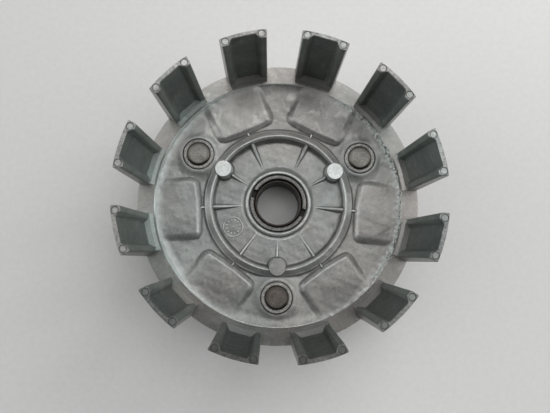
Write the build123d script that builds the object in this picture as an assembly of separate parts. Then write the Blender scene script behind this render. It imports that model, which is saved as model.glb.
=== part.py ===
"""Motorcycle clutch basket with its riveted-on primary driven gear, in millimetres.

The basket is an open cup, mouth up: a cast dish with twelve upright fingers round its rim. Six damper
springs lie in pockets under the dish. The primary gear behind the dish turns a few degrees against
them, and three flanged collars with rivets hold gear, springs and back plate to the basket.

Frame: Z is the shaft axis, Z = 0 is the rear end of the gear hub, and the fingers point to +Z.
"""
from build123d import *
import math
import os

# Heights of the layers, from the rear end of the hub up
RIM_REAR_Z = 2.5            # rear face of the gear's toothed rim
PLATE_REAR_Z = 4.4          # rear face of the back plate
PLATE_T = 2.2               # thickness of the back plate
WEB_REAR_Z = 7.4            # rear face of the gear's web
WEB_TOP_Z = 13.4            # front face of the gear's web
DISH_REAR_Z = 13.6          # rear face of the basket's dish, clear of the turning gear
RIM_TOP_Z = 16.0            # front face of the toothed rim
FLANGE_REAR_Z = 16.5        # rear face of the basket's outer flange
FLANGE_Z = 22.0             # front face of the flange, which is also the floor of the finger slots
TIP_Z = 62.0                # ends of the fingers

# Basket: dish
OUTER_R = 70.0              # outside of flange and fingers
FLANGE_IN_R = 61.5          # inner edge of the flat flange
DISH_STEP_R = 58.0          # step behind the flange that the gear rim turns round
BASKET_BORE_R = 15.0        # clear round the gear hub
BOSS_Z = 17.5               # front face of the narrow boss round the bore
BOSS_OUT_R = 16.4           # outer edge of that face
MOAT = (17.5, 15.7)         # radius and height of the shallow moat round the boss
MOAT_OUT_R = 19.2           # where the moat has risen to the inner floor
INNER_FLOOR_Z = 16.2        # floor between boss and ring rib
RING_TOP_Z = 21.5           # top of the ring rib, at its inner side
RING_EDGE = (36.9, 20.4)    # radius and height of its outer edge, which its top slopes down to
FLOOR_Z = 19.0              # annular floor at the foot of the ring rib
FLOOR_IN_R = 38.0           # inner edge of that floor
FLOOR_OUT = (56.5, 20.4)    # radius and height that the floor has risen to where it sweeps up to the flange

# Basket: fingers
FINGERS = 12
FINGER_PITCH = 360 / FINGERS
SLOT_W_TIP = 15.3           # slot width at the fingers' ends
SLOT_W_ROOT = 14.4          # slot width on the flange
POST_IN_TIP = 66.0          # inside of a finger's two posts, at the tip, from the axis
WEB_IN_TIP = 68.1           # inside of the thin web between them, at the tip
DRAFT = 1.5                 # how far the inside leans in between tip and root
ROOT_FLARE = 2.0            # height and depth of the flare at the root of a post
LEDGE_Z = 23.4              # ledge where the channel between the posts ends
POST_FLAT_U = 6.9           # half width of the channel at the posts' inside
WEB_FLAT_U = 5.4            # half width of the channel at the web
POST_ROUND = 0.9            # rounding of the posts
PIN_MARK_R = 1.5            # round ejector pin marks on the tips, two on each
PIN_MARK_X = 67.7
PIN_MARK_U = 8.0
PIN_MARK_DEPTH = 0.2

# Damper springs and their pockets
SPRING_PAIR_ANGLES = (90, 210, 330)
SPRING_OFFSET = 25.0        # each pair sits this many degrees either side
SPRING_AXIS_R = 47.0
SPRING_AXIS_Z = 13.2
SPRING_OUTER_R = 5.5
SPRING_WIRE_R = 1.1
SPRING_LENGTH = 24.0
SPRING_TURNS = 6.5
POCKET_R = 5.8
POCKET_LENGTH = 24.1
HUMP_TOP_Z = 21.5           # highest line of the hump over each pocket
HUMP_FOOT_HALF_W = 15.8     # half width where it leaves the floor
HUMP_TOP_HALF_W = 14.2      # half width of its flat top
HUMP_FOOT_R = 38.4          # foot of its steep inner side
HUMP_CREST_R = 40.2         # top of its steep inner side
HUMP_FALL_R = 47.5          # where the top starts to fall away towards the flange
HUMP_OUT = (58.0, 20.3)     # radius and height of the falling side, just under the sweep
HUMP_CORNER = 3.5           # rounding of its two inner corners
HUMP_ROUND = 1.0            # rounding along the edges of its top

# Rivets and collars
RIVET_ANGLES = (30, 150, 270)
RIVET_R = 47.3              # radius of the rivet circle
SHANK_R = 4.0
HEAD_R = 5.7
HEAD_TOP_Z = 21.3
HEAD_ROUND = 0.8            # rounding of the head's edge
COLLAR_TUBE_R = 6.1
COLLAR_FLANGE_R = 7.75
COLLAR_TOP_Z = 21.0
COLLAR_BEVEL = 0.4          # bevels on both edges of its front face
COLLAR_SEAT_Z = 18.2        # seat of the collar flange in the basket
RIVET_SEAT_Z = 18.7         # seat of the rivet head in the collar
TAIL_R = 6.0
TAIL_Z = 2.9
RIVET_BOSS_TOP = (8.8, 20.8)    # radius and height of the boss round each collar
RIVET_BOSS_FOOT_R = 12.0
SEAT_GAP = 0.35             # clear round the collar flange
HEAD_GAP = 0.15             # clear round the rivet head, inside the collar

# Gear, hub and bush
TEETH = 59
MODULE = 2.25
PRESSURE_ANGLE = 20.0
BACKLASH = 0.10
RIM_IN_R = 58.5
TWIST = 5.0                 # damper travel each way, in degrees
SLOT_R = 6.4                # half width of the curved slots that the collars run in
HUB_R = 14.6
HUB_BORE_R = 12.5
HUB_TOP_Z = 17.1
HUB_EDGE = (0.4, 0.8)       # width and height of the bevel round its front end
HUB_FOOT_R = 17.5
OIL_SLOT = (4.4, 3.0)       # width and depth of the two oil slots across the hub's front end
OIL_SLOT_ANGLE = -20.5
BUSH_R = 11.0
BUSH_Z = (0.9, 15.4)

# Ejector posts, gussets and bridges of the casting
POST_R = 4.0
POST_CIRCLE_R = 32.4
POST_TOP_Z = 22.8
GUSSET_OUT_R = 33.2
GUSSET_IN_R = 19.3
GUSSET_RISE = 3.6
GUSSET_HALF_W = (0.35, 1.1)     # half thickness at the inner and the outer end
BRIDGE_HALF_W = 0.45
BRIDGE_TOP_Z = 20.4


def spring_angles():
    """Angles of the six damper springs, in degrees."""
    return [a + s for a in SPRING_PAIR_ANGLES for s in (-SPRING_OFFSET, SPRING_OFFSET)]


def turned(shape, angle):
    """The shape, modelled on the +X axis, turned about Z to its place."""
    return Rot(0, 0, angle) * shape


def revolved(points):
    """A closed outline of (radius, height) points, turned about Z."""
    return revolve(Plane.XZ * make_face(Polyline(*points, close=True)), Axis.Z)


def radial_prism(points, half_w):
    """A closed outline of (radius, height) points, on +X, given a thickness across the radius."""
    return extrude(Plane.XZ * make_face(Polyline(*points, close=True)), half_w, both=True)


def cross_prism(points, near, far):
    """A closed outline of (width, height) points, drawn along the +X radius from near to far."""
    face = Plane.YZ * make_face(Polyline(*points, close=True))
    return Pos(near, 0, 0) * extrude(face, far - near)


def finger_slot():
    """What is cut away between two fingers, on +X: the sides are parallel to the slot's middle."""
    top = TIP_Z + 1
    foot, mouth = SLOT_W_ROOT / 2, SLOT_W_TIP / 2
    return cross_prism([(-foot, FLANGE_Z), (foot, FLANGE_Z), (mouth, top), (-mouth, top)], 55, OUTER_R + 2)


def finger_hollow():
    """The shallow channel up a finger's inside that leaves a thin web between two posts, on +X."""
    web = WEB_IN_TIP - DRAFT
    post = POST_IN_TIP - DRAFT
    slant = (POST_FLAT_U - WEB_FLAT_U) / (web - post)
    half = [(web, WEB_FLAT_U), (post - 1, POST_FLAT_U + slant), (post - 4, POST_FLAT_U + slant)]
    outline = half + [(x, -y) for x, y in reversed(half)]
    face = Pos(0, 0, LEDGE_Z) * make_face(Polyline(*outline, close=True))
    rise = TIP_Z - LEDGE_Z
    lean = Vector(DRAFT, 0, rise).normalized()
    return extrude(face, 1.1 * rise, dir=lean)


def rounded_fingers(body):
    """The casting with the long edges of its fingers rounded and the tips broken."""
    def long_edges(low_r, high_r):
        found = []
        for e in body.edges():
            middle = e @ 0.5
            upright = abs((e @ 0).Z - (e @ 1).Z) > 30
            if upright and low_r < math.hypot(middle.X, middle.Y) < high_r:
                found.append(e)
        return found

    web = WEB_IN_TIP - DRAFT / 2
    body = fillet(long_edges(OUTER_R - 0.1, OUTER_R + 0.1), 0.6)
    body = fillet(long_edges(web, web + 0.9), 1.2)
    body = fillet(long_edges(POST_IN_TIP - DRAFT, web - 0.9), POST_ROUND)
    tips = [f for f in body.faces() if f.center().Z > TIP_Z - 0.01]
    body = chamfer([e for f in tips for e in f.edges()], 0.25)
    mark = Cylinder(PIN_MARK_R, 2 * PIN_MARK_DEPTH)
    for i in range(FINGERS):
        for side in (-PIN_MARK_U, PIN_MARK_U):
            body -= turned(Pos(PIN_MARK_X, side, TIP_Z) * mark, FINGER_PITCH * (i + 0.5))
    return body


def hump():
    """The raised pad over one spring pocket, on +X: steep towards the hub, falling gently to the flange."""
    foot_z = FLOOR_Z - 0.6
    out_r, out_z = HUMP_OUT
    side = [(HUMP_FOOT_R, foot_z), (out_r, foot_z), (out_r, out_z), (HUMP_FALL_R, HUMP_TOP_Z - 0.1),
            (HUMP_CREST_R, HUMP_TOP_Z)]
    foot_w, top_w = HUMP_FOOT_HALF_W, HUMP_TOP_HALF_W
    front = [(-foot_w, foot_z), (foot_w, foot_z), (top_w, HUMP_TOP_Z), (-top_w, HUMP_TOP_Z)]
    pad = radial_prism(side, 20) & cross_prism(front, 30, 65)
    corners = [e for e in pad.edges() if (e @ 0.5).X < 42 and abs((e @ 0).Z - (e @ 1).Z) > 2]
    pad = fillet(corners, HUMP_CORNER)
    top_edges = []
    for e in pad.edges():
        if min((e @ 0).Z, (e @ 1).Z) > HUMP_TOP_Z - 0.3 and (e @ 0.5).X < HUMP_FALL_R - 0.1:
            top_edges.append(e)
    return fillet(top_edges, HUMP_ROUND)


def gusset():
    """A thin radial rib on the inner floor, on +X: highest at the ring rib and running out to nothing."""
    foot = INNER_FLOOR_Z - 0.3
    outline = [(GUSSET_IN_R, foot), (GUSSET_OUT_R, foot), (GUSSET_OUT_R, INNER_FLOOR_Z + GUSSET_RISE),
               (GUSSET_IN_R, INNER_FLOOR_Z + 0.1)]
    thin, thick = GUSSET_HALF_W
    plan = [(GUSSET_IN_R, -thin), (GUSSET_OUT_R, -thick), (GUSSET_OUT_R, thick), (GUSSET_IN_R, thin)]
    return radial_prism(outline, 5) & extrude(make_face(Polyline(*plan, close=True)), FLANGE_Z)


def bridge():
    """The small web that joins a hump to the ring rib, on +X."""
    height = BRIDGE_TOP_Z - FLOOR_Z + 1
    return Pos(38.0, 0, BRIDGE_TOP_Z - height / 2) * Box(5.0, 2 * BRIDGE_HALF_W, height)


def basket():
    """The aluminium casting: dish, flange, twelve fingers, spring humps, rivet bosses and ribs."""
    root_in = POST_IN_TIP - DRAFT - ROOT_FLARE
    middle = [
        (BASKET_BORE_R, DISH_REAR_Z), (BASKET_BORE_R, BOSS_Z - 0.4), (BASKET_BORE_R + 0.4, BOSS_Z),
        (BOSS_OUT_R, BOSS_Z), MOAT, (MOAT_OUT_R, INNER_FLOOR_Z), (31.4, INNER_FLOOR_Z), (32.4, 17.1),
        (33.3, RING_TOP_Z - 0.4), (33.7, RING_TOP_Z), (34.3, RING_TOP_Z - 0.1), RING_EDGE,
        (37.6, FLOOR_Z + 0.2), (FLOOR_IN_R, FLOOR_Z), FLOOR_OUT,
    ]
    rim = [
        (FLANGE_IN_R, FLANGE_Z), (root_in, FLANGE_Z), (root_in + ROOT_FLARE, FLANGE_Z + ROOT_FLARE),
        (POST_IN_TIP, TIP_Z), (OUTER_R, TIP_Z), (OUTER_R, FLANGE_REAR_Z + 0.6),
        (OUTER_R - 0.6, FLANGE_REAR_Z), (DISH_STEP_R, FLANGE_REAR_Z), (DISH_STEP_R, DISH_REAR_Z), middle[0],
    ]
    floor_run, floor_rise = FLOOR_OUT[0] - FLOOR_IN_R, FLOOR_OUT[1] - FLOOR_Z
    sweep_up = TangentArc(FLOOR_OUT, rim[0], tangent=(floor_run, floor_rise))
    section = make_face([Polyline(*middle), sweep_up, Polyline(*rim)])
    body = revolve(Plane.XZ * section, Axis.Z)
    for i in range(FINGERS):
        body -= turned(finger_slot(), FINGER_PITCH * i)
        body -= turned(finger_hollow(), FINGER_PITCH * (i + 0.5))
    body = rounded_fingers(body)
    for angle in spring_angles():
        body += turned(hump(), angle)
        body += turned(gusset(), angle)
        body += turned(bridge(), angle)
    boss_r, boss_top = RIVET_BOSS_TOP
    boss_foot = FLOOR_Z - 0.8
    boss_h = boss_top - boss_foot
    rivet_boss = Pos(RIVET_R, 0, boss_foot + boss_h / 2) * Cone(RIVET_BOSS_FOOT_R, boss_r, boss_h)
    post_h = POST_TOP_Z - INNER_FLOOR_Z + 1
    post = Pos(POST_CIRCLE_R, 0, POST_TOP_Z - post_h / 2) * Cylinder(POST_R, post_h)
    for angle in RIVET_ANGLES:
        body += turned(rivet_boss, angle)
        body += turned(gusset(), angle)
        body += turned(post, angle)
    pocket = Pos(SPRING_AXIS_R, 0, SPRING_AXIS_Z) * Rot(90, 0, 0) * Cylinder(POCKET_R, POCKET_LENGTH)
    for angle in spring_angles():
        body -= turned(pocket, angle)
    hole = Pos(RIVET_R, 0, FLANGE_Z / 2) * Cylinder(COLLAR_TUBE_R + 0.05, 2 * FLANGE_Z)
    seat = Pos(RIVET_R, 0, COLLAR_SEAT_Z + 5) * Cylinder(COLLAR_FLANGE_R + SEAT_GAP, 10)
    for angle in RIVET_ANGLES:
        body -= turned(hole, angle)
        body -= turned(seat, angle)
    return body


def rivet():
    """A rivet on +X: round-edged head in front, formed head behind."""
    shape = revolved([
        (0, HEAD_TOP_Z), (HEAD_R, HEAD_TOP_Z), (HEAD_R, RIVET_SEAT_Z), (SHANK_R, RIVET_SEAT_Z),
        (SHANK_R, PLATE_REAR_Z), (TAIL_R, PLATE_REAR_Z), (TAIL_R, PLATE_REAR_Z - 0.5),
        (TAIL_R - 1.5, TAIL_Z), (0, TAIL_Z),
    ])
    rim = [e for e in shape.edges() if (e @ 0).Z > HEAD_TOP_Z - 0.01]
    return Pos(RIVET_R, 0, 0) * fillet(rim, HEAD_ROUND)


def collar():
    """The flanged steel collar round a rivet, on +X. Its tube spaces the back plate off the basket."""
    bore = SHANK_R + 0.05
    counterbore = HEAD_R + HEAD_GAP
    end, bevel_z = PLATE_REAR_Z + PLATE_T, COLLAR_TOP_Z - COLLAR_BEVEL
    shape = revolved([
        (bore, end), (bore, RIVET_SEAT_Z), (counterbore, RIVET_SEAT_Z), (counterbore, bevel_z),
        (counterbore + COLLAR_BEVEL, COLLAR_TOP_Z), (COLLAR_FLANGE_R - COLLAR_BEVEL, COLLAR_TOP_Z),
        (COLLAR_FLANGE_R, bevel_z), (COLLAR_FLANGE_R, COLLAR_SEAT_Z), (COLLAR_TUBE_R, COLLAR_SEAT_Z),
        (COLLAR_TUBE_R, end),
    ])
    return Pos(RIVET_R, 0, 0) * shape


def damper_spring():
    """One coil spring on +X, its axis along Y, touching neither end of its pocket."""
    mean_r = SPRING_OUTER_R - SPRING_WIRE_R
    height = SPRING_LENGTH - 2 * SPRING_WIRE_R
    path = Helix(pitch=height / SPRING_TURNS, height=height, radius=mean_r)
    wire = Plane(origin=path @ 0, z_dir=path % 0) * Circle(SPRING_WIRE_R)
    coil = sweep(wire, path=path, is_frenet=True)
    return Pos(SPRING_AXIS_R, height / 2, SPRING_AXIS_Z) * Rot(90, 0, 0) * coil


def back_plate():
    """The steel plate that closes the spring windows from behind."""
    shape = revolved([
        (19.0, PLATE_REAR_Z), (19.0, PLATE_REAR_Z + PLATE_T), (56.0, PLATE_REAR_Z + PLATE_T),
        (56.0, PLATE_REAR_Z + 0.6), (55.4, PLATE_REAR_Z),
    ])
    window = extrude(SlotOverall(20.0, 7.6, rotation=90), 2 * PLATE_T, both=True)
    for angle in spring_angles():
        shape -= turned(Pos(SPRING_AXIS_R, 0, PLATE_REAR_Z) * window, angle)
    for angle in RIVET_ANGLES:
        shape -= turned(Pos(RIVET_R, 0, PLATE_REAR_Z) * Cylinder(SHANK_R + 0.05, 4 * PLATE_T), angle)
    return shape


def friction_washer():
    """The thin dished washer that keeps the gear from rattling between web and back plate."""
    low, high = PLATE_REAR_Z + PLATE_T, WEB_REAR_Z
    return revolved([(19.6, low + 0.02), (26.0, high - 0.55), (26.0, high - 0.05), (19.6, low + 0.52)])


def tooth_flank(half_pitch_angle, base_r, radii):
    """(radius, angle) pairs along one involute flank, the angle measured from the tooth's middle."""
    def involute(r):
        alpha = math.acos(base_r / r)
        return math.tan(alpha) - alpha

    pitch_r = TEETH * MODULE / 2
    start = half_pitch_angle + involute(pitch_r)
    return [(r, start - involute(r)) for r in radii]


def gear_blank():
    """The toothed ring, with involute flanks, before web and slots are cut."""
    pitch_r = TEETH * MODULE / 2
    root_r, tip_r = pitch_r - 1.25 * MODULE, pitch_r + MODULE
    base_r = pitch_r * math.cos(math.radians(PRESSURE_ANGLE))
    half_pitch_angle = (math.pi * MODULE / 2 - BACKLASH) / (2 * pitch_r)
    steps = [root_r + (tip_r - root_r) * k / 4 for k in range(5)]
    flank = tooth_flank(half_pitch_angle, base_r, steps)

    def polar(r, angle):
        return (r * math.cos(angle), r * math.sin(angle))

    edges = []
    for i in range(TEETH):
        mid = 2 * math.pi * i / TEETH
        after = 2 * math.pi * (i + 1) / TEETH
        rising = [polar(r, mid - a) for r, a in flank]
        falling = [polar(r, mid + a) for r, a in reversed(flank)]
        next_root = polar(root_r, after - flank[0][1])
        edges.append(Spline(*rising))
        edges.append(ThreePointArc(rising[-1], polar(tip_r, mid), falling[0]))
        edges.append(Spline(*falling))
        edges.append(ThreePointArc(falling[-1], polar(root_r, (mid + after) / 2), next_root))
    return Pos(0, 0, RIM_REAR_Z) * extrude(make_face(edges), RIM_TOP_Z - RIM_REAR_Z)


def primary_gear():
    """The steel driven gear: toothed rim, web with six spring windows and three curved collar slots."""
    shape = gear_blank()
    tall = 40
    rear = WEB_REAR_Z - tall
    shape -= Pos(0, 0, rear + tall / 2) * Cylinder(RIM_IN_R, tall)
    shape -= Pos(0, 0, WEB_TOP_Z + tall / 2) * Cylinder(RIM_IN_R, tall)
    shape -= Cylinder(HUB_R, 2 * tall)
    window = Box(2 * POCKET_R, POCKET_LENGTH, 2 * tall)
    for angle in spring_angles():
        shape -= turned(Pos(SPRING_AXIS_R, 0, 0) * window, angle)
    travel = TWIST + 0.15
    slot = SlotArc(CenterArc((0, 0), RIVET_R, -travel, 2 * travel), 2 * SLOT_R)
    for angle in RIVET_ANGLES:
        shape -= turned(extrude(slot, tall, both=True), angle)
    return shape


def gear_hub():
    """The steel sleeve pressed into the gear web, with two oil slots across its front end."""
    edge_w, edge_h = HUB_EDGE
    shape = revolved([
        (HUB_BORE_R, 0), (HUB_BORE_R, HUB_TOP_Z - edge_w), (HUB_BORE_R + edge_w, HUB_TOP_Z),
        (HUB_R - edge_w, HUB_TOP_Z), (HUB_R, HUB_TOP_Z - edge_h), (HUB_R, WEB_REAR_Z),
        (HUB_FOOT_R, WEB_REAR_Z), (HUB_FOOT_R, 0.6), (HUB_FOOT_R - 0.6, 0),
    ])
    width, depth = OIL_SLOT
    cut = Pos(0, 0, HUB_TOP_Z) * Box(4 * HUB_R, width, 2 * depth)
    return shape - turned(cut, OIL_SLOT_ANGLE)


def hub_bush():
    """The plain bearing bush pressed into the hub."""
    low, high = BUSH_Z
    return revolved([
        (BUSH_R, low + 0.3), (BUSH_R, high - 0.3), (BUSH_R + 0.3, high), (BUSH_R + 0.7, high),
        (HUB_BORE_R, high - 0.9), (HUB_BORE_R, low), (BUSH_R + 0.3, low),
    ])


def all_parts():
    """Every node name with its solid, in place."""
    parts = {
        "basket": basket(),
        "back_plate": back_plate(),
        "friction_washer": friction_washer(),
        "primary_gear": primary_gear(),
        "gear_hub": gear_hub(),
        "hub_bush": hub_bush(),
    }
    spring = damper_spring()
    for i, angle in enumerate(spring_angles(), 1):
        parts[f"damper_spring_{i}"] = turned(spring, angle)
    for i, angle in enumerate(RIVET_ANGLES, 1):
        parts[f"rivet_{i}"] = turned(rivet(), angle)
        parts[f"rivet_collar_{i}"] = turned(collar(), angle)
    return parts


os.makedirs("parts", exist_ok=True)
for name, solid in all_parts().items():
    export_step(solid, f"parts/{name}.step")
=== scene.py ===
import math

import bpy
import numpy as np
from mathutils import Matrix, Vector


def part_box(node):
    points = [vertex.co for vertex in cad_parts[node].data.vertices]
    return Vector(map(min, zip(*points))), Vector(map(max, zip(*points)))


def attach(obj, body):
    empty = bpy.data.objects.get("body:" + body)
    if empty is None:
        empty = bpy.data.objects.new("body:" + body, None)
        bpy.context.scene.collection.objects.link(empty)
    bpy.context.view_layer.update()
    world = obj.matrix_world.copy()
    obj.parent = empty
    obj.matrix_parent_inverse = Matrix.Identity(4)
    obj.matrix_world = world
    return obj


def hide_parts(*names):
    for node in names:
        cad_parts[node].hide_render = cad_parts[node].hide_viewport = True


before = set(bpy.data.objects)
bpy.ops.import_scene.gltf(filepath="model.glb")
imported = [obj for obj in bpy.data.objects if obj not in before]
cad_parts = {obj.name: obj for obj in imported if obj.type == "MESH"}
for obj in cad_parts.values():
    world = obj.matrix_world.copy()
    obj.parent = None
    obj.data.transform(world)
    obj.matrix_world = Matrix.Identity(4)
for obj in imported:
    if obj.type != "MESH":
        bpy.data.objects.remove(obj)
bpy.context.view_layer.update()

MM_PER_M = 1000

# Sizes and places of the CAD model that the looks follow, in millimetres and degrees
FLANGE_Z, FLOOR_Z, INNER_Z, RING_Z, PAD_Z, BOSS_TOP_Z = 22.0, 19.0, 16.2, 21.5, 21.5, 20.8
FLANGE_IN_R, FLOOR_IN_R, FLOOR_OUT = 61.5, 38.0, (56.5, 20.4)
SPRING_ANGLES = [a + s for a in (90, 210, 330) for s in (-25, 25)]
RIVET_ANGLES = (30, 150, 270)
RIVET_R, POST_CIRCLE_R, SEAT_R = 47.3, 32.4, 8.1
FINGER_ANGLES = range(15, 360, 30)
TIP_Z, LEDGE_Z, PIN_MARK_R, PIN_MARK_X, PIN_MARK_U = 62.0, 23.4, 1.5, 67.7, 8.0
SPRING_AXIS_R, SPRING_AXIS_Z = 47.0, 13.2
HUB_FACE_Z, BUSH_FACE_Z = 17.1, 15.4


# ---------------------------------------------------------------- materials
# Lengths in this part of the script are in metres.

def node_tools(tree):
    """Two helpers for a node tree: one adds a node, the other links two sockets."""

    def add(kind, **settings):
        node = tree.nodes.new(kind)
        for key, value in settings.items():
            if key in node.inputs:
                node.inputs[key].default_value = value
            else:
                setattr(node, key, value)
        return node

    return add, tree.links.new


def new_material(name):
    """A node material with its principled shader, and the two helpers for its tree."""
    mat = bpy.data.materials.new(name)
    mat.use_nodes = True
    add, link = node_tools(mat.node_tree)
    return mat, mat.node_tree.nodes["Principled BSDF"], add, link


def ramp_between(add, link, source, low, high, dark, light):
    """A colour ramp from dark to light as source goes from low to high."""
    ramp = add("ShaderNodeValToRGB")
    ramp.color_ramp.elements[0].position, ramp.color_ramp.elements[1].position = low, high
    ramp.color_ramp.elements[0].color = (*dark, 1)
    ramp.color_ramp.elements[1].color = (*light, 1)
    link(source, ramp.inputs["Fac"])
    return ramp.outputs["Color"]


def mix_colour(add, link, mode, amount, a, b):
    """One colour laid over another."""
    mix = add("ShaderNodeMix", data_type="RGBA", blend_type=mode)
    if isinstance(amount, float):
        mix.inputs[0].default_value = amount
    else:
        link(amount, mix.inputs[0])
    for value, socket in ((a, mix.inputs[6]), (b, mix.inputs[7])):
        if isinstance(value, tuple):
            socket.default_value = (*value, 1)
        else:
            link(value, socket)
    return mix.outputs[2]


def map_range(add, link, source, low, high, to_low, to_high):
    """source moved from one range to another."""
    node = add("ShaderNodeMapRange")
    link(source, node.inputs["Value"])
    for key, value in (("From Min", low), ("From Max", high), ("To Min", to_low), ("To Max", to_high)):
        node.inputs[key].default_value = value
    return node.outputs["Result"]


def maths(add, link, operation, a, b=0.0):
    """A maths node on sockets or numbers."""
    node = add("ShaderNodeMath", operation=operation)
    for value, socket in ((a, node.inputs[0]), (b, node.inputs[1])):
        if isinstance(value, float):
            socket.default_value = value
        else:
            link(value, socket)
    return node.outputs["Value"]


def product(add, link, a, b):
    """a times b."""
    return maths(add, link, "MULTIPLY", a, b)


def total(add, link, a, b):
    """a plus b."""
    return maths(add, link, "ADD", a, b)


def flattened(add, link, vector):
    """A vector without its Z part, and its length then, which is the distance from the Z axis."""
    flat = add("ShaderNodeVectorMath", operation="MULTIPLY")
    link(vector, flat.inputs[0])
    flat.inputs[1].default_value = (1, 1, 0)
    radius = add("ShaderNodeVectorMath", operation="LENGTH")
    link(flat.outputs["Vector"], radius.inputs[0])
    return flat.outputs["Vector"], radius.outputs["Value"]


def bump(add, link, height, strength, distance, below=None):
    """A bumped normal, laid over the one below it."""
    node = add("ShaderNodeBump", Strength=strength, Distance=distance)
    link(height, node.inputs["Height"])
    if below is not None:
        link(below, node.inputs["Normal"])
    return node.outputs["Normal"]


def mark_edge_shade(add, link, x, y):
    """1 on a thin line of painted shade round each ejector pin mark of the finger tips, at its small step, 0
    away from them.
    """
    solid, gone = 0.00012, 0.00032      # distances from the mark's edge
    pitch = math.radians(FINGER_ANGLES.step)
    turn = maths(add, link, "FLOORED_MODULO", maths(add, link, "ARCTAN2", y, x), pitch)
    turn = maths(add, link, "SUBTRACT", turn, pitch / 2)
    squares = total(add, link, product(add, link, x, x), product(add, link, y, y))
    radius = maths(add, link, "SQRT", squares)
    along = product(add, link, radius, maths(add, link, "COSINE", turn))
    along = maths(add, link, "SUBTRACT", along, PIN_MARK_X / MM_PER_M)
    across = maths(add, link, "ABSOLUTE", product(add, link, radius, maths(add, link, "SINE", turn)))
    across = maths(add, link, "SUBTRACT", across, PIN_MARK_U / MM_PER_M)
    squares = total(add, link, product(add, link, along, along), product(add, link, across, across))
    off_line = maths(add, link, "SUBTRACT", maths(add, link, "SQRT", squares), PIN_MARK_R / MM_PER_M)
    return map_range(add, link, maths(add, link, "ABSOLUTE", off_line), solid, gone, 1.0, 0.0)


def dish_wear_and_light(add, link, noise, place, x, y, colour):
    """The colour with the dish's own wear and its painted light and shade over it.

    The rim is pale: painted light on the -X side, and broken flash on the +X side. Hollows get painted
    shade and ridges painted highlights, by the mesh's own measure of how it bends. The boss round the bore
    gets a painted highlight. The pads on the +Y side are scuffed, and get painted light towards -X and
    painted shade towards +X.
    """
    radius = flattened(add, link, place)[1]
    # painted light on the rim on the -X side; pale broken flash on the +X side
    rim = map_range(add, link, radius, 0.0568, 0.0608, 0.0, 1.0)
    inside = map_range(add, link, radius, 0.0619, 0.0627, 1.0, 0.0)
    lit_side = map_range(add, link, x, -0.012, -0.045, 0.0, 0.65)
    broken_side = map_range(add, link, x, 0.015, 0.045, 0.0, 0.8)
    broken = product(add, link, broken_side, map_range(add, link, noise(420, 5), 0.46, 0.6, 0.0, 1.0))
    pale = product(add, link, product(add, link, rim, inside), total(add, link, lit_side, broken))
    colour = mix_colour(add, link, "MIX", pale, colour, (0.66, 0.71, 0.70))
    # painted shade in the hollows and painted highlights on the ridges
    bend = add("ShaderNodeAttribute", attribute_name="bend").outputs["Fac"]
    uneven = map_range(add, link, noise(260, 4), 0.3, 0.6, 0.35, 1.0)
    painted_hollow_shade = product(add, link, map_range(add, link, bend, 0.06, 0.7, 0.0, 0.6), uneven)
    colour = mix_colour(add, link, "MIX", painted_hollow_shade, colour, (0.10, 0.105, 0.10))
    painted_ridge_highlight = product(add, link, map_range(add, link, bend, -0.08, -0.8, 0.0, 0.85), uneven)
    colour = mix_colour(add, link, "MIX", painted_ridge_highlight, colour, (0.80, 0.83, 0.82))
    # painted highlight on the boss round the bore
    boss = product(add, link, map_range(add, link, radius, 0.0151, 0.0154, 0.0, 0.75),
                   map_range(add, link, radius, 0.0164, 0.0171, 1.0, 0.0))
    colour = mix_colour(add, link, "MIX", product(add, link, boss, uneven), colour, (0.80, 0.82, 0.80))
    pads = product(add, link, map_range(add, link, y, 0.018, 0.04, 0.0, 1.0),
                   map_range(add, link, radius, 0.038, 0.041, 0.0, 1.0))
    pads = product(add, link, pads, map_range(add, link, radius, 0.055, 0.059, 1.0, 0.0))
    marks = map_range(add, link, noise(85, 7, 1.6), 0.54, 0.66, 0.0, 0.75)
    colour = mix_colour(add, link, "MIX", product(add, link, pads, marks), colour, (0.74, 0.72, 0.69))
    # painted light on the pads towards -X, painted shade on them towards +X
    painted_light_side = map_range(add, link, x, -0.004, -0.024, 0.0, 0.42)
    colour = mix_colour(add, link, "MIX", product(add, link, pads, painted_light_side), colour, (0.66, 0.655, 0.63))
    painted_shade_side = map_range(add, link, x, 0.004, 0.022, 0.0, 0.35)
    colour = mix_colour(add, link, "MIX", product(add, link, pads, painted_shade_side), colour, (0.24, 0.24, 0.24))
    return colour


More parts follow.
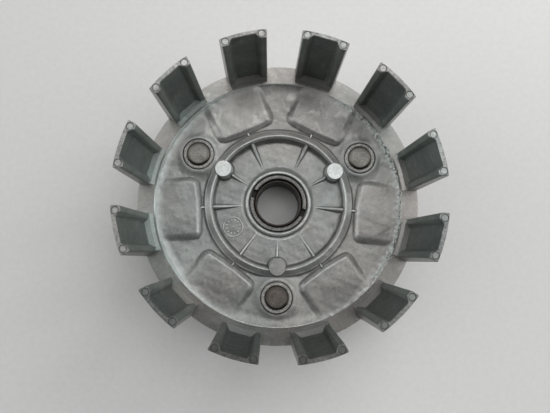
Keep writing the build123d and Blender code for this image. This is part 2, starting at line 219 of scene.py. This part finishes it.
def cast_aluminium(name, dark, light, scuff, rough, grain, minus_y_shade=0.0, speckled=(0.88, 1.06),
                   dish=False, marked=False):
    """Die-cast aluminium: blotched grey, pale scuffed patches, fine grain and small pits.

    rough is the range of its roughness and grain the strength of its grain. oily is how much painted shade
    darkens it towards the -Y side, away from the lamp, and speckled the range of its fine speckle. dish adds
    the dish's own wear with its painted light and shade, and marked the painted shade lines round the pin
    marks of the finger tips.
    """
    mat, shader, add, link = new_material(name)
    place = add("ShaderNodeTexCoord").outputs["Object"]

    def noise(scale, detail, distortion=0.0):
        node = add("ShaderNodeTexNoise", Scale=scale, Detail=detail, Roughness=0.6, Distortion=distortion)
        link(place, node.inputs["Vector"])
        return node.outputs["Fac"]

    blotch = ramp_between(add, link, noise(38, 4, 0.6), 0.33, 0.68, dark, light)
    speckle = ramp_between(add, link, noise(900, 3), 0.35, 0.7, (speckled[0],) * 3, (speckled[1],) * 3)
    colour = mix_colour(add, link, "MULTIPLY", 1.0, blotch, speckle)
    drift = ramp_between(add, link, noise(24, 2, 0.4), 0.38, 0.62, (0.95, 1.0, 0.99), (1.02, 0.99, 0.965))
    colour = mix_colour(add, link, "MULTIPLY", 1.0, colour, drift)
    pale_mask = map_range(add, link, noise(130, 8, 1.2), 0.58, 0.76, 0.0, 0.6)
    colour = mix_colour(add, link, "MIX", pale_mask, colour, scuff)
    split = add("ShaderNodeSeparateXYZ")
    link(place, split.inputs["Vector"])
    x, y = split.outputs["X"], split.outputs["Y"]
    if minus_y_shade:
        # painted shade: darker towards the -Y side, away from the lamp
        painted_shade = map_range(add, link, y, -0.06, 0.0, minus_y_shade, 0.0)
        colour = mix_colour(add, link, "MIX", painted_shade, colour, (0.04, 0.045, 0.043))
    if marked:
        # painted shade round the pin marks, where their small step is
        line = product(add, link, mark_edge_shade(add, link, x, y), 0.75)
        colour = mix_colour(add, link, "MIX", line, colour, (0.05, 0.055, 0.053))
    if dish:
        colour = dish_wear_and_light(add, link, noise, place, x, y, colour)
    link(colour, shader.inputs["Base Color"])
    shader.inputs["Metallic"].default_value = 0.75
    link(map_range(add, link, noise(300, 5), 0.3, 0.75, rough[0], rough[1]), shader.inputs["Roughness"])
    pits = add("ShaderNodeTexVoronoi", Scale=1300)
    link(place, pits.inputs["Vector"])
    normal = bump(add, link, noise(2600, 4), grain, 0.00012)
    normal = bump(add, link, noise(330, 5), grain * 0.8, 0.0004, normal)
    normal = bump(add, link, pits.outputs["Distance"], grain * 0.5, 0.0001, normal)
    link(normal, shader.inputs["Normal"])
    return mat


def turned_steel(name, dark, light, rough, lines, centre=(0.0, 0.0), face_z=None, metal=1.0, head_r=None,
                 speckled=(0.7, 1.15)):
    """Machined steel: tool lines round a centre, light staining and fine scratches.

    Below face_z, the height of its worn front face, it gets painted shade. A rivet head of radius
    head_r gets painted shade towards its edge, most of all on the -Y side.
    """
    mat, shader, add, link = new_material(name)
    place = add("ShaderNodeTexCoord").outputs["Object"]
    moved = add("ShaderNodeVectorMath", operation="SUBTRACT")
    link(place, moved.inputs[0])
    moved.inputs[1].default_value = (*centre, 0)
    rings = add("ShaderNodeTexWave", wave_type="RINGS", rings_direction="Z", Scale=lines, Distortion=1.5,
                Detail=3)
    link(moved.outputs["Vector"], rings.inputs["Vector"])
    stain = add("ShaderNodeTexNoise", Scale=160, Detail=6, Roughness=0.65, Distortion=0.8)
    link(place, stain.inputs["Vector"])
    grain = add("ShaderNodeTexNoise", Scale=1500, Detail=4, Roughness=0.7)
    link(place, grain.inputs["Vector"])
    colour = ramp_between(add, link, stain.outputs["Fac"], 0.32, 0.7, dark, light)
    low, high = (speckled[0],) * 3, (speckled[1],) * 3
    speckle = ramp_between(add, link, grain.outputs["Fac"], 0.35, 0.68, low, high)
    colour = mix_colour(add, link, "MULTIPLY", 1.0, colour, speckle)
    if face_z is not None:
        split = add("ShaderNodeSeparateXYZ")
        link(place, split.inputs["Vector"])
        # painted shade below the front face, in recesses and slots
        painted_shade = map_range(add, link, split.outputs["Z"], face_z - 0.0012, face_z - 0.0002, 1.0, 0.0)
        colour = mix_colour(add, link, "MIX", painted_shade, colour, (0.035, 0.032, 0.028))
    if head_r is not None:
        flat, radius = flattened(add, link, moved.outputs["Vector"])
        parts = add("ShaderNodeSeparateXYZ")
        link(flat, parts.inputs["Vector"])
        # painted shade: the head gets darker in speckles towards its edge, as a dome would
        spots = map_range(add, link, grain.outputs["Fac"], 0.42, 0.56, 0.0, 1.0)
        edge = map_range(add, link, radius, head_r * 0.66, head_r * 0.86, 0.0, 0.7)
        colour = mix_colour(add, link, "MIX", product(add, link, edge, spots), colour, (0.07, 0.062, 0.052))
        # painted shadow on the -Y side of the head's rim
        near_rim = map_range(add, link, radius, head_r * 0.80, head_r * 0.88, 0.0, 0.9)
        lower = map_range(add, link, parts.outputs["Y"], head_r * -0.2, head_r * -0.7, 0.0, 1.0)
        below = product(add, link, near_rim, lower)
        colour = mix_colour(add, link, "MIX", below, colour, (0.02, 0.018, 0.016))
    link(colour, shader.inputs["Base Color"])
    shader.inputs["Metallic"].default_value = metal
    link(map_range(add, link, stain.outputs["Fac"], 0.3, 0.7, rough[0], rough[1]), shader.inputs["Roughness"])
    normal = bump(add, link, rings.outputs["Fac"], 0.35, 0.00008)
    normal = bump(add, link, grain.outputs["Fac"], 0.3, 0.00008, normal)
    link(normal, shader.inputs["Normal"])
    return mat


def paper(name):
    """The matt pale sheet that the part stands on."""
    mat, shader, add, link = new_material(name)
    place = add("ShaderNodeTexCoord").outputs["Object"]
    fibre = add("ShaderNodeTexNoise", Scale=350, Detail=5, Roughness=0.6)
    link(place, fibre.inputs["Vector"])
    tone = ramp_between(add, link, fibre.outputs["Fac"], 0.3, 0.7, (0.70, 0.70, 0.695), (0.74, 0.74, 0.735))
    link(tone, shader.inputs["Base Color"])
    shader.inputs["Roughness"].default_value = 0.9
    link(bump(add, link, fibre.outputs["Fac"], 0.1, 0.0002), shader.inputs["Normal"])
    return mat


HEAD_SHARE = 0.95           # radius of a rivet's front head against that of its rear one

cast = cast_aluminium("cast_aluminium", (0.36, 0.36, 0.355), (0.47, 0.47, 0.46), (0.62, 0.62, 0.60),
                      (0.34, 0.50), 0.45, minus_y_shade=0.12, dish=True)
cast_tip = cast_aluminium("cast_aluminium_tip", (0.32, 0.32, 0.315), (0.53, 0.53, 0.52), (0.78, 0.78, 0.77),
                          (0.3, 0.5), 0.7, minus_y_shade=0.45, speckled=(0.6, 1.2), marked=True)
# a darker copy, for the fingers' inward faces and the gaps of the rivet seats
cast_darker = cast_aluminium("cast_aluminium_darker", (0.17, 0.19, 0.187), (0.27, 0.30, 0.29),
                              (0.36, 0.39, 0.38), (0.45, 0.65), 0.6, minus_y_shade=0.65)
# a paler copy: painted light on the -X side's finger roots and lip, and the pale of broken flash on the +X
# side
cast_chalk_and_light = cast_aluminium("cast_aluminium_chalk_and_light", (0.50, 0.56, 0.55), (0.66, 0.71, 0.70),
                             (0.8, 0.84, 0.82), (0.45, 0.6), 0.6)
cast_worn = cast_aluminium("cast_aluminium_worn", (0.36, 0.355, 0.345), (0.46, 0.455, 0.44),
                           (0.66, 0.65, 0.62), (0.24, 0.42), 0.4, minus_y_shade=0.35)
cast_faced = cast_aluminium("cast_aluminium_faced", (0.42, 0.43, 0.42), (0.66, 0.67, 0.66),
                            (0.88, 0.88, 0.88), (0.30, 0.42), 0.5, minus_y_shade=0.68, speckled=(0.75, 1.12),
                            marked=True)
# a lit copy: a painted highlight on the faces of the two posts on the +Y side
cast_lit_post = cast_aluminium("cast_aluminium_lit_post", (0.78, 0.79, 0.79), (0.97, 0.97, 0.96), (1.0, 1.0, 1.0),
                             (0.30, 0.42), 0.5, speckled=(0.82, 1.08))
# a lighter copy: painted highlights on the inward faces of the fingers' posts
cast_post_highlight = cast_aluminium("cast_aluminium_post_highlight", (0.23, 0.25, 0.243), (0.36, 0.395, 0.38),
                           (0.46, 0.49, 0.48), (0.45, 0.65), 0.6, minus_y_shade=0.42)
gear_steel = turned_steel("gear_steel", (0.28, 0.28, 0.29), (0.42, 0.42, 0.43), (0.28, 0.48), 500)
# the hub and the bush get painted shade below their front faces
hub_steel = turned_steel("hub_steel", (0.21, 0.21, 0.20), (0.38, 0.37, 0.35), (0.35, 0.5), 900,
                         face_z=HUB_FACE_Z / MM_PER_M, metal=0.8, speckled=(0.45, 1.4))
bush_steel = turned_steel("bush_steel", (0.07, 0.06, 0.053), (0.13, 0.115, 0.10), (0.35, 0.5), 700,
                          face_z=BUSH_FACE_Z / MM_PER_M, metal=0.8)
plate_steel = turned_steel("plate_steel", (0.25, 0.25, 0.26), (0.38, 0.38, 0.39), (0.35, 0.5), 350)
spring_steel = turned_steel("spring_steel", (0.12, 0.12, 0.13), (0.22, 0.22, 0.23), (0.3, 0.45), 1200)

# The springs and the friction washer have spring steel, rivets and collars a steel each.
own_material = {"basket": cast, "primary_gear": gear_steel, "gear_hub": hub_steel, "hub_bush": bush_steel,
                "back_plate": plate_steel}


def riveted_steel(node):
    """A rivet's or a collar's own steel, turned about its own axis. The rivet on the -Y side gets painted
    shade and is darkest.
    """
    low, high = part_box(node)
    middle = (low + high) / 2
    if node.startswith("rivet_collar"):
        dark, light, head_r = (0.40, 0.39, 0.37), (0.58, 0.57, 0.54), None
    else:
        dark, light, head_r = (0.30, 0.285, 0.26), (0.55, 0.53, 0.49), (high.x - low.x) / 2 * HEAD_SHARE
        # painted shade: the rivet on the -Y side is darker
        if middle.y < 0:
            dark, light = (0.13, 0.115, 0.10), (0.24, 0.215, 0.19)
    return turned_steel(node + "_steel", dark, light, (0.35, 0.55), 1500, (middle.x, middle.y),
                        face_z=high.z - 0.0004, metal=0.8, head_r=head_r, speckled=(0.45, 1.4))


for node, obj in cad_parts.items():
    mat = riveted_steel(node) if node.startswith("rivet") else own_material.get(node, spring_steel)
    obj.data.materials.clear()
    obj.data.materials.append(mat)


# ---------------------------------------------------------------- casting
# The dish of the basket is remade here with the soft fillets, sagging pads and trimmed flash of a die
# casting. Everything else of it, fingers, flange, bores and back, is copied from the CAD node.
# Lengths in this part of the script are in millimetres.

# Finishes of the casting's faces, painted light and shade among them: their places in the list of its
# materials
AS_CAST, DARKER, FACED, WORN, CHALK_AND_LIGHT, TIP, POST_HIGHLIGHT, LIT_POST = range(8)

DISH_IN_R, DISH_OUT_R = 15.42, 62.45                # the remade dish lies between these radii
COLLAR_HOLE_R, POST_HOLE_R = 8.3, 3.6               # it is left open this far round rivets and posts
KEPT_BOSS_R, KEPT_POST_R = 8.85, 4.03               # and the CAD's own faces are kept this far
KEPT_POCKET_R, KEPT_POCKET_HALF_LENGTH = 5.9, 12.2  # as are those of the spring pockets
LOWEST_LEFT_OUT_Z, NEAREST_LEFT_OUT_R = 15.6, 15.5  # no CAD face is left out below or inside these
POST_FACE_R = 4.02                                  # faces inside this are a post's own
FLASH_MIDDLE, FLASH_REACH = 12, 52                  # ragged flash on the flange's inner edge, in degrees
LIP_MIDDLE, LIP_REACH = 150, 62                     # thin lip on the same edge
LOW_GUSSETS = (235, 270, 305)                       # angles of the gussets that are lower than in the CAD
CLOCK_ANGLE, CLOCK_CIRCLE_R, CLOCK_R = 209, 26, 4.9
SLOPE_STEP, BEND_STEP = 0.12, 0.3                   # steps to each side that measure slope and bend
BEND_GAIN = 6.0


def smooth_max(a, b, k):
    """The larger of a and b, rounded where they cross, within k."""
    h = np.clip(0.5 + 0.5 * (a - b) / k, 0, 1)
    return b + (a - b) * h + k * h * (1 - h)


def smooth_min(a, b, k):
    """The smaller of a and b, rounded where they cross, within k."""
    return -smooth_max(-a, -b, k)


def dish_profile(r):
    """Height of the dish at radius r where it has no pads, bosses or ribs."""
    line = [(15, 17.5), (16.3, 17.5), (17.5, 15.75), (18.8, INNER_Z), (31.3, INNER_Z), (32.0, 16.5),
            (32.6, 17.5), (33.4, RING_Z - 0.3), (33.8, RING_Z), (34.3, RING_Z - 0.05), (36.9, RING_Z - 1.1),
            (37.7, FLOOR_Z + 0.2), (38.4, FLOOR_Z)]
    out_r, out_z = FLOOR_OUT
    lean = math.atan2(out_z - FLOOR_Z, out_r - FLOOR_IN_R)
    span, rise = FLANGE_IN_R - out_r, FLANGE_Z - out_z
    radius = math.hypot(span, rise) / (2 * math.sin(math.atan2(rise, span) - lean))
    centre_r, centre_z = out_r - radius * math.sin(lean), out_z + radius * math.cos(lean)
    for sweep_r in np.linspace(out_r, FLANGE_IN_R, 24):
        line.append((sweep_r, centre_z - math.sqrt(radius**2 - (sweep_r - centre_r) ** 2)))
    line.append((FLANGE_IN_R + 2, FLANGE_Z))
    step, softness, reach = 0.02, 0.19, 40      # the corners are rounded by a bell curve
    fine = np.arange(15, FLANGE_IN_R + 2, step)
    height = np.interp(fine, [p[0] for p in line], [p[1] for p in line])
    kernel = np.exp(-0.5 * (np.arange(-reach, reach + 1) * step / softness) ** 2)
    padded = np.pad(height, reach, mode="edge")
    height = np.convolve(padded, kernel / kernel.sum(), mode="valid")
    return np.interp(r, fine, height)


def local(x, y, angle):
    """Coordinates along and across the radius that stands at this angle, in degrees."""
    c, s = math.cos(math.radians(angle)), math.sin(math.radians(angle))
    return x * c + y * s, y * c - x * s


def waviness(x, y, seed, size, count=24):
    """Smooth noise about 0, near 1 high, with features of about this size."""
    rng = np.random.default_rng(seed)
    waves = np.zeros_like(x)
    for _ in range(count):
        angle, phase = rng.uniform(0, 2 * math.pi, 2)
        k = 2 * math.pi / (size * rng.uniform(0.6, 1.8))
        waves += np.sin(k * (x * math.cos(angle) + y * math.sin(angle)) + phase)
    return waves / math.sqrt(count / 2)


def pad_height(v, u):
    """A spring pad: steep towards the hub, crowned like its spring, and meeting the floor further out."""
    corner = 0.09 * np.clip(44 - v, 0, 6) ** 2
    inner = 18.4 + (v - 37.9 - 0.004 * u**2) * 1.6
    side = 19.2 + (16.2 - corner - np.abs(u)) * 1.25
    top = PAD_Z + 0.25 - 0.16 * (u / 13) ** 2 - 0.3 * (np.clip(v - 43, 0, 20) / 14) ** 2
    return smooth_min(smooth_min(top, inner, 1.9), side, 2.5)


def dish_height(x, y):
    """Height of the finished dish at points x, y."""
    r = np.hypot(x, y)
    z = dish_profile(r)
    for angle in SPRING_ANGLES:
        v, u = local(x, y, angle)
        pad = np.where((v > 36) & (v < 63) & (np.abs(u) < 22), pad_height(v, u), 0)
        z = np.where(pad > 10, smooth_max(z, pad, 0.6 + 0.08 * np.clip(v - 44, 0, 14)), z)
        bridge = smooth_min(smooth_min(20.3, 18 + (0.9 - np.abs(u)) * 5, 0.4), 18 + (v - 34.5) * 3, 0.4)
        z = np.where((v > 34.5) & (v < 42) & (np.abs(u) < 3), smooth_max(z, bridge, 0.35), z)
    for angle in (*SPRING_ANGLES, *RIVET_ANGLES):
        v, u = local(x, y, angle)
        along = np.clip((v - 19.0) / 14.0, 0, 1.1)
        share = 0.45 if angle in LOW_GUSSETS else 1.0
        crest = INNER_Z - 0.2 + 3.9 * share * along
        rib = smooth_min(crest, INNER_Z + (0.25 + 1.45 * share * along - np.abs(u)) * 3.2, 0.25)
        z = np.where((v > 18.6) & (v < 34) & (np.abs(u) < 4), smooth_max(z, rib, 0.4), z)
    for angle in RIVET_ANGLES:
        v, u = local(x, y, angle)
        d = np.hypot(v - RIVET_R, u)
        boss = smooth_min(BOSS_TOP_Z - 0.04, BOSS_TOP_Z - (d - 9.0) * 0.5, 0.4)
        z = np.where(d < 15, smooth_max(z, boss, 1.3), z)
        d = np.hypot(v - POST_CIRCLE_R, u)
        foot = 21.8 - (d - 4.0) * 5.0
        z = np.where(d < 6.5, smooth_max(z, np.minimum(foot, 21.9), 0.7), z)
    return z


def clock_mark(x, y):
    """A foundry date clock: a ring with a centre dot and twelve ticks, and no lettering."""
    angle = math.radians(CLOCK_ANGLE)
    cx, cy = CLOCK_CIRCLE_R * math.cos(angle), CLOCK_CIRCLE_R * math.sin(angle)
    line_w, raised = 0.24, 0.16
    d = np.hypot(x - cx, y - cy)
    around = np.degrees(np.arctan2(y - cy, x - cx)) % 30 - 15
    ring = np.exp(-((d - CLOCK_R) / line_w) ** 2)
    ticks = np.exp(-((d - 3.4) / 0.5) ** 2) * np.exp(-(d * np.radians(around) / line_w) ** 2)
    dot = np.exp(-(d / 0.45) ** 2)
    return raised * np.clip(ring + ticks + dot, 0, 1)


def flash_height(x, y):
    """What the trim tool left on the flange's inner edge: ragged flash on one side, a lip on the other."""
    r, angle = np.hypot(x, y), np.degrees(np.arctan2(y, x))
    side = np.clip(1 - np.abs((angle - FLASH_MIDDLE) / FLASH_REACH) ** 4, 0.06, 1)
    ragged = np.clip(waviness(x, y, 5, 2.2) * 0.5 + waviness(x, y, 6, 0.9) * 0.5 + 0.15, 0, 1.6)
    edge = FLANGE_IN_R - 0.3 + 0.5 * waviness(x, y, 8, 5.0)
    flash = 0.6 * side * ragged * np.exp(-((r - edge) / 0.55) ** 2)
    lip_side = np.clip(1.4 - np.abs((angle % 360 - LIP_MIDDLE) / LIP_REACH) ** 2, 0, 1)
    lip = 0.28 * lip_side * np.exp(-((r - FLANGE_IN_R + 0.2) / 0.42) ** 2)
    return flash + lip


def dish_surface():
    """The dish as points, quads, point normals and bends on a polar grid, left open over rivets and bore.

    The bend is above 0 in a hollow and below 0 on a ridge.
    """
    rings = np.concatenate([np.arange(DISH_IN_R, 19.4, 0.3), np.arange(19.4, 31, 0.36),
                            np.arange(31, 44, 0.3), np.arange(44, 60, 0.55),
                            np.arange(60, DISH_OUT_R, 0.24)])
    turns = np.radians(np.arange(0, 360, 0.6))
    r, a = np.meshgrid(rings, turns, indexing="ij")
    x, y = r * np.cos(a), r * np.sin(a)

    def height(px, py):
        z = dish_height(px, py) + 0.045 * waviness(px, py, 3, 7) + 0.016 * waviness(px, py, 4, 2.5)
        low = np.where(np.hypot(px, py) > 57, smooth_min(z, FLANGE_Z - 0.02, 0.2), z)
        return low + clock_mark(px, py) + flash_height(px, py)

    z = height(x, y)
    h = SLOPE_STEP
    slope_x = (height(x + h, y) - height(x - h, y)) / (2 * h)
    slope_y = (height(x, y + h) - height(x, y - h)) / (2 * h)
    h = BEND_STEP
    bend = height(x + h, y) + height(x - h, y) + height(x, y + h) + height(x, y - h) - 4 * z
    bend = bend.ravel() * BEND_GAIN
    normal = np.stack([-slope_x, -slope_y, np.ones_like(z)], axis=-1).reshape(-1, 3)
    normal /= np.linalg.norm(normal, axis=1)[:, None]
    points = np.stack([x, y, z], axis=-1).reshape(-1, 3)
    rows, cols = r.shape
    i, j = np.meshgrid(np.arange(rows - 1), np.arange(cols), indexing="ij")
    k = (j + 1) % cols
    quads = np.stack([i * cols + j, (i + 1) * cols + j, (i + 1) * cols + k, i * cols + k], axis=-1)
    quads = quads.reshape(-1, 4)
    middle = points[quads].mean(axis=1)
    keep = np.ones(len(quads), bool)
    for angle in RIVET_ANGLES:
        v, u = local(middle[:, 0], middle[:, 1], angle)
        keep &= np.hypot(v - RIVET_R, u) > COLLAR_HOLE_R
        keep &= np.hypot(v - POST_CIRCLE_R, u) > POST_HOLE_R
    return points, quads[keep], normal, bend


def in_remade_dish(tri):
    """Which CAD triangles (n, 3, 3) belong to the dish's upper side, and are left out of the copy."""
    x, y, z = tri[..., 0], tri[..., 1], tri[..., 2]
    farthest = np.hypot(x, y).max(axis=1)
    out = (farthest < FLANGE_IN_R + 0.02) & (farthest > NEAREST_LEFT_OUT_R)
    out &= z.min(axis=1) > LOWEST_LEFT_OUT_Z
    for angle in RIVET_ANGLES:
        v, u = local(x, y, angle)
        out &= np.hypot(v - RIVET_R, u).max(axis=1) > KEPT_BOSS_R
        out &= np.hypot(v - POST_CIRCLE_R, u).max(axis=1) > KEPT_POST_R
    for angle in SPRING_ANGLES:
        v, u = local(x, y, angle)
        off_axis = np.hypot(v - SPRING_AXIS_R, z - SPRING_AXIS_Z).max(axis=1)
        out &= ~((off_axis < KEPT_POCKET_R) & (np.abs(u).max(axis=1) < KEPT_POCKET_HALF_LENGTH))
    return out


def face_finish(middle, normal):
    """The finish of each face copied from the CAD node, with painted light and shade on some of them."""
    x, y, z = middle.T
    r = np.hypot(x, y)
    inward = (normal[:, 0] * x + normal[:, 1] * y) / r
    finish = np.full(len(x), AS_CAST)
    # the fingers' inward faces are darker
    finish[(z > FLANGE_Z + 1.0) & (z < TIP_Z - 0.4) & (r < 69) & (inward < -0.25)] = DARKER
    finish[(np.abs(z - FLANGE_Z) < 0.3) & (r > FLANGE_IN_R) & (normal[:, 2] > 0.9)] = WORN
    # painted light: the finger roots on the -X side get the paler copy
    root = (z > FLANGE_Z + 0.1) & (z < LEDGE_Z + 0.1) & (r > FLANGE_IN_R) & (r < 68) & (normal[:, 2] > 0.3)
    turn = np.degrees(np.arctan2(y, x)) % 360
    finish[root] = np.where((turn > 120) & (turn < 208), CHALK_AND_LIGHT, AS_CAST)[root]
    on_tip = z > TIP_Z - 0.4
    finish[on_tip] = TIP
    for angle in FINGER_ANGLES:
        v, u = local(x, y, angle)
        on_post = (v > 55) & (np.abs(u) > 6.5) & (np.abs(u) < 12)
        # painted highlight on the posts' inward faces
        finish[on_post & (finish == DARKER)] = POST_HIGHLIGHT
        on_mark = np.hypot(v - PIN_MARK_X, np.abs(u) - PIN_MARK_U) < PIN_MARK_R
        finish[on_mark & on_tip] = FACED
    for angle in RIVET_ANGLES:
        v, u = local(x, y, angle)
        finish[(np.hypot(v - RIVET_R, u) < SEAT_R + 0.05) & (z < BOSS_TOP_Z - 0.1)] = DARKER
    # painted highlight on the two posts on the +Y side; the third post keeps the plain cast colour
    for angle in RIVET_ANGLES[:2]:
        v, u = local(x, y, angle)
        finish[(np.hypot(v - POST_CIRCLE_R, u) < POST_FACE_R) & (z > FLANGE_Z)] = LIT_POST
    return finish


def dish_finish(middle):
    """The remade dish's finish: as cast, pale where flash was broken off, and painted light along the lip on
    the -X side.
    """
    x, y = middle[:, 0], middle[:, 1]
    r, angle = np.hypot(x, y), np.degrees(np.arctan2(y, x)) % 360
    from_flash = np.abs((angle + (180 - FLASH_MIDDLE)) % 360 - 180)
    broken = (from_flash < FLASH_REACH - 2) & (r > 59.6) & (waviness(x, y, 9, 1.6) > 0.1)
    # painted light along the lip on the -X side
    pale_mask = (np.abs(angle - LIP_MIDDLE) < LIP_REACH + 6) & (np.abs(r - FLANGE_IN_R + 0.35) < 0.4)
    return np.where(broken | pale_mask, CHALK_AND_LIGHT, AS_CAST)


def new_object(name, data):
    """A new object in the scene."""
    obj = bpy.data.objects.new(name, data)
    bpy.context.scene.collection.objects.link(obj)
    return obj


def make_casting():
    """The basket's visual piece: the CAD copy without the dish's upper side, and the remade dish."""
    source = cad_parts["basket"].data
    source.calc_loop_triangles()
    co = np.array([v.co for v in source.vertices], float) * MM_PER_M
    tri = np.array([t.vertices for t in source.loop_triangles])
    corner = np.array([t.split_normals for t in source.loop_triangles], float).reshape(-1, 3, 3)
    keep = ~in_remade_dish(co[tri])
    tri, corner = tri[keep], corner[keep]
    points, quads, normal, bend = dish_surface()
    faces = [tuple(int(n) for n in t) for t in tri]
    faces += [tuple(int(n) + len(co) for n in q) for q in quads]
    mesh = bpy.data.meshes.new("basket_casting")
    mesh.from_pydata((np.concatenate([co, points]) / MM_PER_M).tolist(), [], faces)
    # in the order of the finishes above
    for mat in (cast, cast_darker, cast_faced, cast_worn, cast_chalk_and_light, cast_tip, cast_post_highlight, cast_lit_post):
        mesh.materials.append(mat)
    finish = np.concatenate([face_finish(co[tri].mean(axis=1), corner.mean(axis=1)),
                             dish_finish(points[quads].mean(axis=1))])
    mesh.polygons.foreach_set("material_index", finish)
    mesh.polygons.foreach_set("use_smooth", [True] * len(faces))
    corner_normals = np.concatenate([corner.reshape(-1, 3), normal[quads].reshape(-1, 3)])
    mesh.normals_split_custom_set(corner_normals.tolist())
    bends = mesh.attributes.new("bend", "FLOAT", "POINT")
    bends.data.foreach_set("value", np.concatenate([np.zeros(len(co)), bend]))
    obj = new_object("basket_casting", mesh)
    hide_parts("basket")
    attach(obj, "basket")


make_casting()


# ---------------------------------------------------------------- floor, light, camera
# Lengths in this part of the script are in metres.

def plane(name, size, height):
    """A square level sheet round the Z axis."""
    mesh = bpy.data.meshes.new(name)
    half = size / 2
    corners = [(-half, -half, height), (half, -half, height), (half, half, height), (-half, half, height)]
    mesh.from_pydata(corners, [], [(0, 1, 2, 3)])
    return new_object(name, mesh)


floor = plane("floor", 4.0, 0.0)
floor.data.materials.append(paper("floor_paper"))


def area_light(name, place, target, size, power, colour):
    """A rectangular soft lamp at a place, turned towards its target."""
    data = bpy.data.lights.new(name, "AREA")
    data.shape, data.size, data.size_y = "RECTANGLE", size[0], size[1]
    data.energy, data.color = power, colour
    obj = new_object(name, data)
    obj.location = place
    obj.rotation_euler = (Vector(target) - Vector(place)).to_track_quat("-Z", "Y").to_euler()
    return obj


window = area_light("window", (0.45, 0.65, 0.40), (0, 0.05, 0), (0.8, 0.5), 5.4, (1.0, 0.995, 0.98))
window.visible_glossy = False       # the metal doesn't mirror it


def soft_room(lobes):
    """A world of soft bright patches: each lobe is a direction, a sharpness and a level."""
    world = bpy.data.worlds.new("soft_room")
    bpy.context.scene.world = world
    world.use_nodes = True
    add, link = node_tools(world.node_tree)
    direction = add("ShaderNodeTexCoord").outputs["Generated"]
    light = 0.0
    for towards, sharpness, level in lobes:
        facing = add("ShaderNodeVectorMath", operation="DOT_PRODUCT")
        link(direction, facing.inputs[0])
        facing.inputs[1].default_value = Vector(towards).normalized()
        lobe = maths(add, link, "MAXIMUM", facing.outputs["Value"], 0.0)
        lobe = product(add, link, maths(add, link, "POWER", lobe, sharpness), level)
        light = total(add, link, lobe, light)
    link(light, world.node_tree.nodes["Background"].inputs["Color"])


soft_room([((0, 0.5, 0.87), 14.0, 1.9), ((0.57, 0, 0.82), 14.0, 1.4), ((-0.57, 0, 0.82), 14.0, 0.5),
           ((0.94, 0, 0.34), 10.0, 1.2), ((-0.94, 0, 0.34), 10.0, 2.2)])

bpy.context.scene.view_settings.view_transform = "Standard"

TILT = (-6.25, 1.31, -1.20)             # degrees about X, Y and Z
EYE = (-0.0018, -0.0023, 0.2223)        # from the middle of the flange's face, along the camera's own axes
LENS, FILM_WIDTH = 29.13, 36.0          # both in millimetres
turn_x, turn_y, turn_z = [Matrix.Rotation(math.radians(a), 3, axis) for a, axis in zip(TILT, "XYZ")]
back = (turn_x @ turn_y @ turn_z).transposed()
camera_data = bpy.data.cameras.new("camera")
camera_data.sensor_width = FILM_WIDTH
camera_data.lens = LENS
camera_data.clip_start = 0.005
camera = new_object("camera", camera_data)
eye = back @ Vector(EYE) + Vector((0, 0, FLANGE_Z / MM_PER_M))
camera.matrix_world = Matrix.Translation(eye) @ back.to_4x4()
bpy.context.scene.camera = camera
